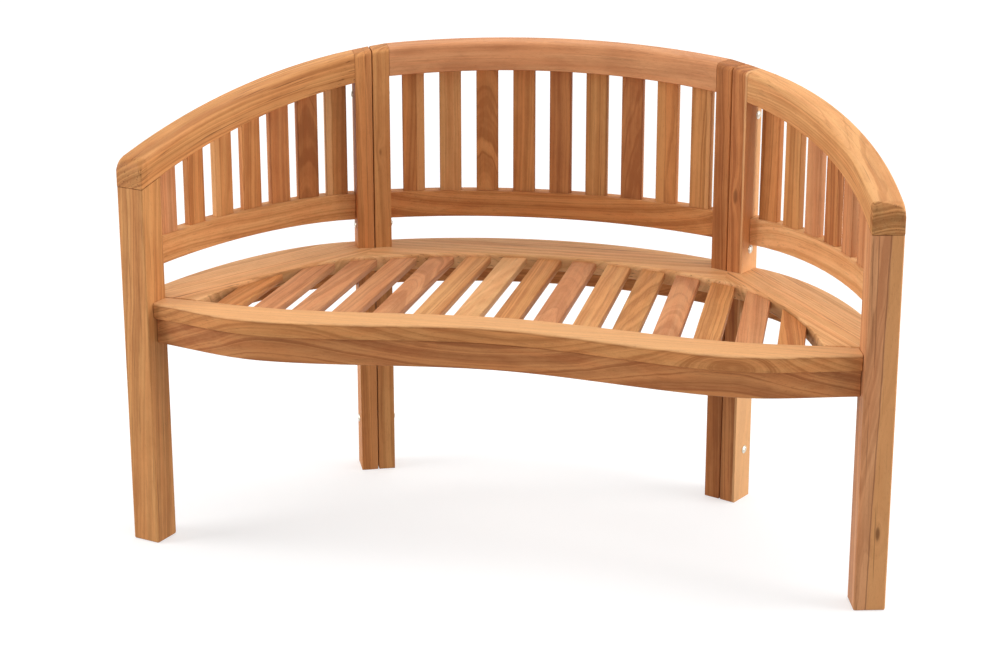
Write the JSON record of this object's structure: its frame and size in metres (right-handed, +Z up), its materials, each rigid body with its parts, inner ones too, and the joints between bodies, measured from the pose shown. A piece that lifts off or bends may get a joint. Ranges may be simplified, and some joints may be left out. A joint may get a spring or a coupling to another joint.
{
  "type": "curved garden bench",
  "caption": "Curved wooden garden bench: slatted seat with a wavy front edge, and a slatted back that sweeps round into sloping arms.",
  "frame": {"origin": "on the ground under the middle of the bench's bounding box", "axes": "+X to the right as seen by someone facing the front of the bench, -Y out of the front of the seat, +Z up"},
  "size_m": [1.3144, 0.5899, 0.824],
  "materials": {
    "teak_frame": "fine-sanded teak, satin",
    "teak_boards": "fine-sanded teak, satin",
    "teak_slats": "fine-sanded teak, satin",
    "bolt_steel": "dull plated steel"
  },
  "bodies": {
    "root": {"centre_back_slat_1": "teak_slats", "centre_back_slat_2": "teak_slats", "centre_back_slat_3": "teak_slats", "centre_back_slat_4": "teak_slats", "centre_back_slat_5": "teak_slats", "centre_back_slat_6": "teak_slats", "centre_back_slat_7": "teak_slats", "centre_back_slat_8": "teak_slats", "centre_back_slat_9": "teak_slats", "centre_lower_rail": "teak_frame", "centre_post_left": "teak_frame", "centre_post_right": "teak_frame", "centre_seat_rail": "teak_frame", "centre_top_rail": "teak_frame", "front_apron": "teak_boards", "front_leg_left": "teak_frame", "front_leg_right": "teak_frame", "front_seat_board": "teak_boards", "post_bolt_lower_left": "bolt_steel", "post_bolt_lower_right": "bolt_steel", "post_bolt_upper_left": "bolt_steel", "post_bolt_upper_right": "bolt_steel", "rear_seat_board": "teak_boards", "seat_slat_01": "teak_slats", "seat_slat_02": "teak_slats", "seat_slat_03": "teak_slats", "seat_slat_04": "teak_slats", "seat_slat_05": "teak_slats", "seat_slat_06": "teak_slats", "seat_slat_07": "teak_slats", "seat_slat_08": "teak_slats", "seat_slat_09": "teak_slats", "seat_slat_10": "teak_slats", "seat_slat_11": "teak_slats", "seat_slat_12": "teak_slats", "seat_slat_13": "teak_slats", "seat_slat_14": "teak_slats", "seat_slat_15": "teak_slats", "side_back_slat_left_1": "teak_slats", "side_back_slat_left_2": "teak_slats", "side_back_slat_left_3": "teak_slats", "side_back_slat_left_4": "teak_slats", "side_back_slat_left_5": "teak_slats", "side_back_slat_left_6": "teak_slats", "side_back_slat_left_7": "teak_slats", "side_back_slat_right_1": "teak_slats", "side_back_slat_right_2": "teak_slats", "side_back_slat_right_3": "teak_slats", "side_back_slat_right_4": "teak_slats", "side_back_slat_right_5": "teak_slats", "side_back_slat_right_6": "teak_slats", "side_back_slat_right_7": "teak_slats", "side_lower_rail_left": "teak_frame", "side_lower_rail_right": "teak_frame", "side_post_left": "teak_frame", "side_post_right": "teak_frame", "side_seat_rail_left": "teak_frame", "side_seat_rail_right": "teak_frame", "side_top_rail_left": "teak_frame", "side_top_rail_right": "teak_frame"}
  },
  "joints": []
}
